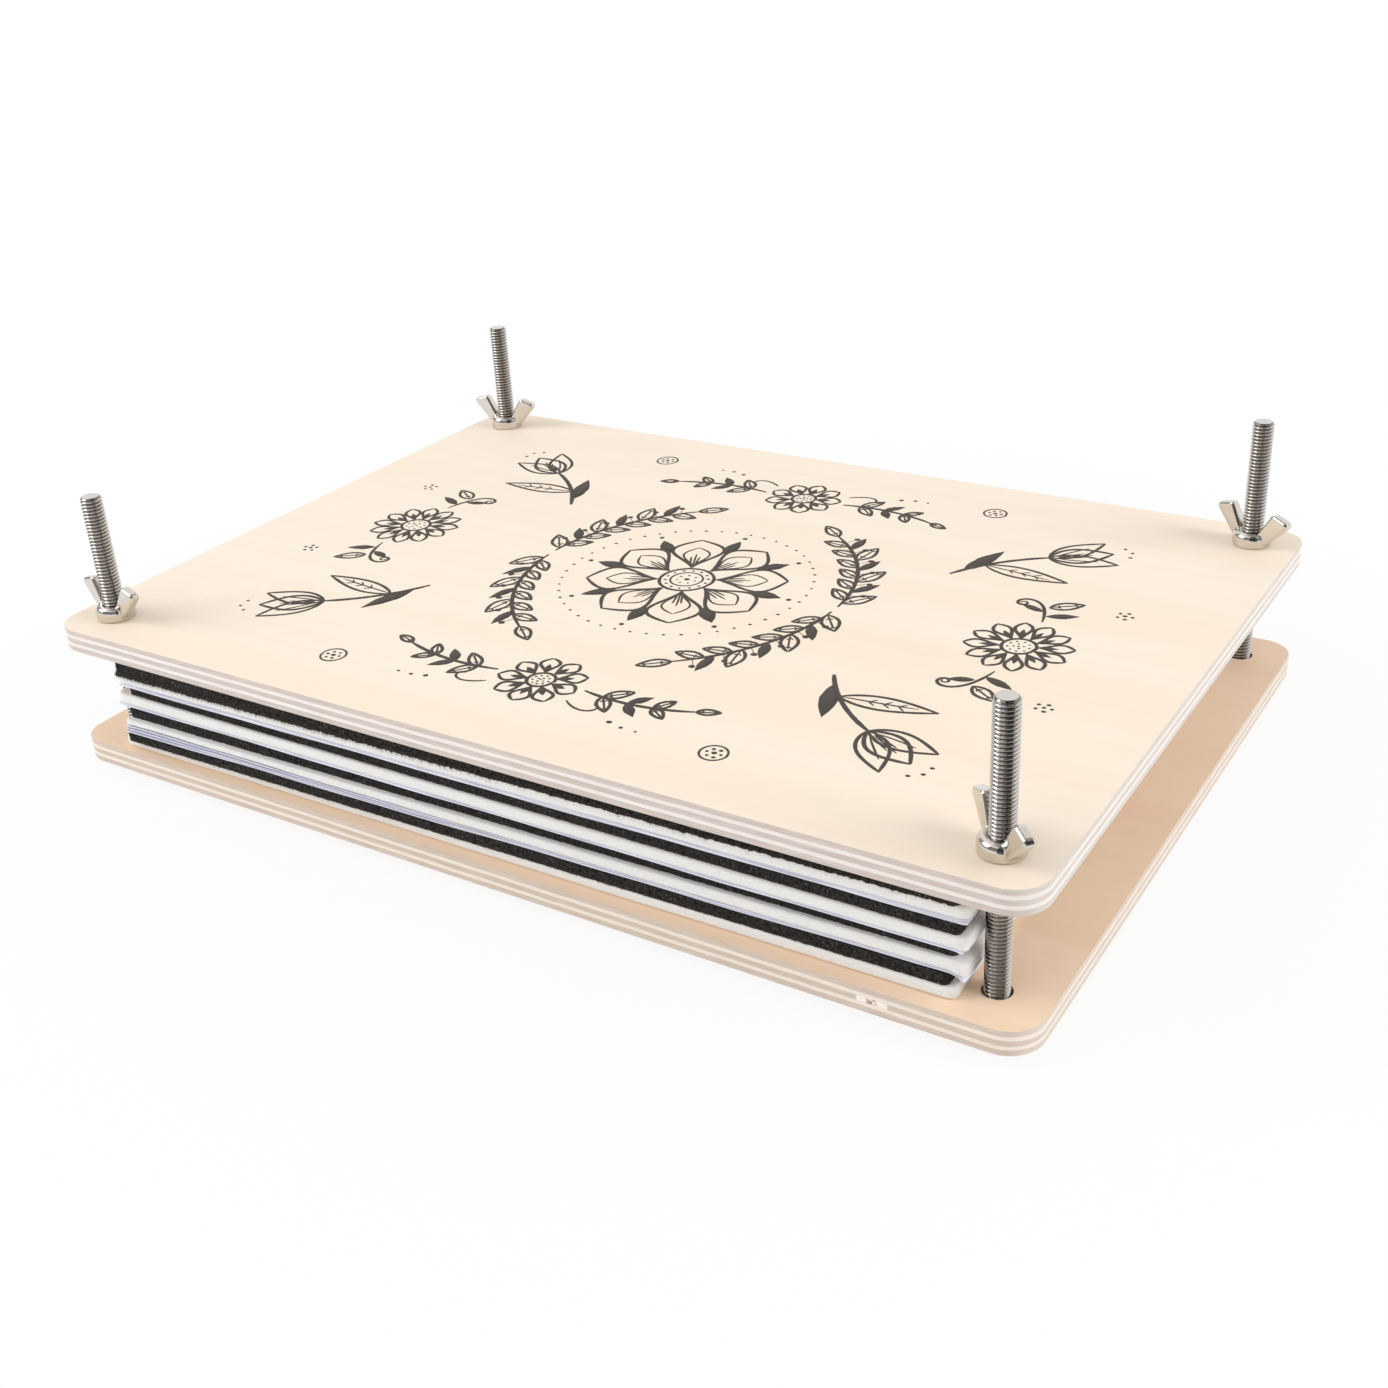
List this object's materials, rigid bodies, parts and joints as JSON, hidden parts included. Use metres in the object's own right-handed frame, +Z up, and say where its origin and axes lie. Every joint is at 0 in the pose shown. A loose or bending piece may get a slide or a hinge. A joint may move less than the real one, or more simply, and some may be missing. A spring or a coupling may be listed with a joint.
{
  "type": "flower press",
  "caption": "Tabletop press for flowers and leaves: two plywood boards clamped over felt, sponge and paper layers by corner bolts with wing nuts.",
  "frame": {"origin": "under the middle of the press, on the plane that the bolt heads stand on", "axes": "+X along the long side to the right, +Y to the back, +Z up along the bolts"},
  "size_m": [0.297, 0.21, 0.0824],
  "materials": {
    "base_plywood": "plain sanded",
    "top_plywood": "plain sanded",
    "bolt_steel": "bright",
    "wing_nut_steel": "polished",
    "felt": "soft pressed felt",
    "sponge": "open-cell foam",
    "paper": "thin uncoated"
  },
  "bodies": {
    "base": {"base_board": "base_plywood", "bolt_front_left": "bolt_steel", "bolt_front_right": "bolt_steel", "bolt_back_left": "bolt_steel", "bolt_back_right": "bolt_steel"},
    "top_board": {"top_board": "top_plywood"},
    "wing_nut_front_left": {"wing_nut_front_left": "wing_nut_steel"},
    "wing_nut_front_right": {"wing_nut_front_right": "wing_nut_steel"},
    "wing_nut_back_left": {"wing_nut_back_left": "wing_nut_steel"},
    "wing_nut_back_right": {"wing_nut_back_right": "wing_nut_steel"},
    "felt_pad_1": {"felt_pad_1": "felt"},
    "sponge_sheet_1": {"sponge_sheet_1": "sponge"},
    "paper_bundle_1": {"paper_bundle_1": "paper"},
    "felt_pad_2": {"felt_pad_2": "felt"},
    "sponge_sheet_2": {"sponge_sheet_2": "sponge"},
    "paper_bundle_2": {"paper_bundle_2": "paper"},
    "felt_pad_3": {"felt_pad_3": "felt"},
    "sponge_sheet_3": {"sponge_sheet_3": "sponge"},
    "paper_bundle_3": {"paper_bundle_3": "paper"},
    "felt_pad_4": {"felt_pad_4": "felt"},
    "sponge_sheet_4": {"sponge_sheet_4": "sponge"}
  },
  "joints": [
    {"name": "board_lift", "type": "slide", "parent": "base", "child": "top_board", "axis": [0, 0, 1], "range_m": [0, 0.03]},
    {"name": "turn_front_left", "type": "hinge", "parent": "top_board", "child": "wing_nut_front_left", "pos_m": [-0.1355, -0.092, 0.0457], "axis": [0, 0, 1], "range_deg": [0, 10800]},
    {"name": "turn_front_right", "type": "hinge", "parent": "top_board", "child": "wing_nut_front_right", "pos_m": [0.1355, -0.092, 0.0457], "axis": [0, 0, 1], "range_deg": [0, 10800]},
    {"name": "turn_back_left", "type": "hinge", "parent": "top_board", "child": "wing_nut_back_left", "pos_m": [-0.1355, 0.092, 0.0457], "axis": [0, 0, 1], "range_deg": [0, 10800]},
    {"name": "turn_back_right", "type": "hinge", "parent": "top_board", "child": "wing_nut_back_right", "pos_m": [0.1355, 0.092, 0.0457], "axis": [0, 0, 1], "range_deg": [0, 10800]},
    {"name": "pull_felt_pad_1", "type": "slide", "parent": "base", "child": "felt_pad_1", "axis": [0, -1, 0], "range_m": [0, 0.1]},
    {"name": "pull_sponge_sheet_1", "type": "slide", "parent": "base", "child": "sponge_sheet_1", "axis": [0, -1, 0], "range_m": [0, 0.1]},
    {"name": "pull_paper_bundle_1", "type": "slide", "parent": "base", "child": "paper_bundle_1", "axis": [0, -1, 0], "range_m": [0, 0.1]},
    {"name": "pull_felt_pad_2", "type": "slide", "parent": "base", "child": "felt_pad_2", "axis": [0, -1, 0], "range_m": [0, 0.1]},
    {"name": "pull_sponge_sheet_2", "type": "slide", "parent": "base", "child": "sponge_sheet_2", "axis": [0, -1, 0], "range_m": [0, 0.1]},
    {"name": "pull_paper_bundle_2", "type": "slide", "parent": "base", "child": "paper_bundle_2", "axis": [0, -1, 0], "range_m": [0, 0.1]},
    {"name": "pull_felt_pad_3", "type": "slide", "parent": "base", "child": "felt_pad_3", "axis": [0, -1, 0], "range_m": [0, 0.1]},
    {"name": "pull_sponge_sheet_3", "type": "slide", "parent": "base", "child": "sponge_sheet_3", "axis": [0, -1, 0], "range_m": [0, 0.1]},
    {"name": "pull_paper_bundle_3", "type": "slide", "parent": "base", "child": "paper_bundle_3", "axis": [0, -1, 0], "range_m": [0, 0.1]},
    {"name": "pull_felt_pad_4", "type": "slide", "parent": "base", "child": "felt_pad_4", "axis": [0, -1, 0], "range_m": [0, 0.1]},
    {"name": "pull_sponge_sheet_4", "type": "slide", "parent": "base", "child": "sponge_sheet_4", "axis": [0, -1, 0], "range_m": [0, 0.1]}
  ],
  "couplings": [
    {"joint": "turn_front_left", "follows": "board_lift", "rad_per_m": 6283.2},
    {"joint": "turn_front_right", "follows": "board_lift", "rad_per_m": 6283.2},
    {"joint": "turn_back_left", "follows": "board_lift", "rad_per_m": 6283.2},
    {"joint": "turn_back_right", "follows": "board_lift", "rad_per_m": 6283.2}
  ]
}
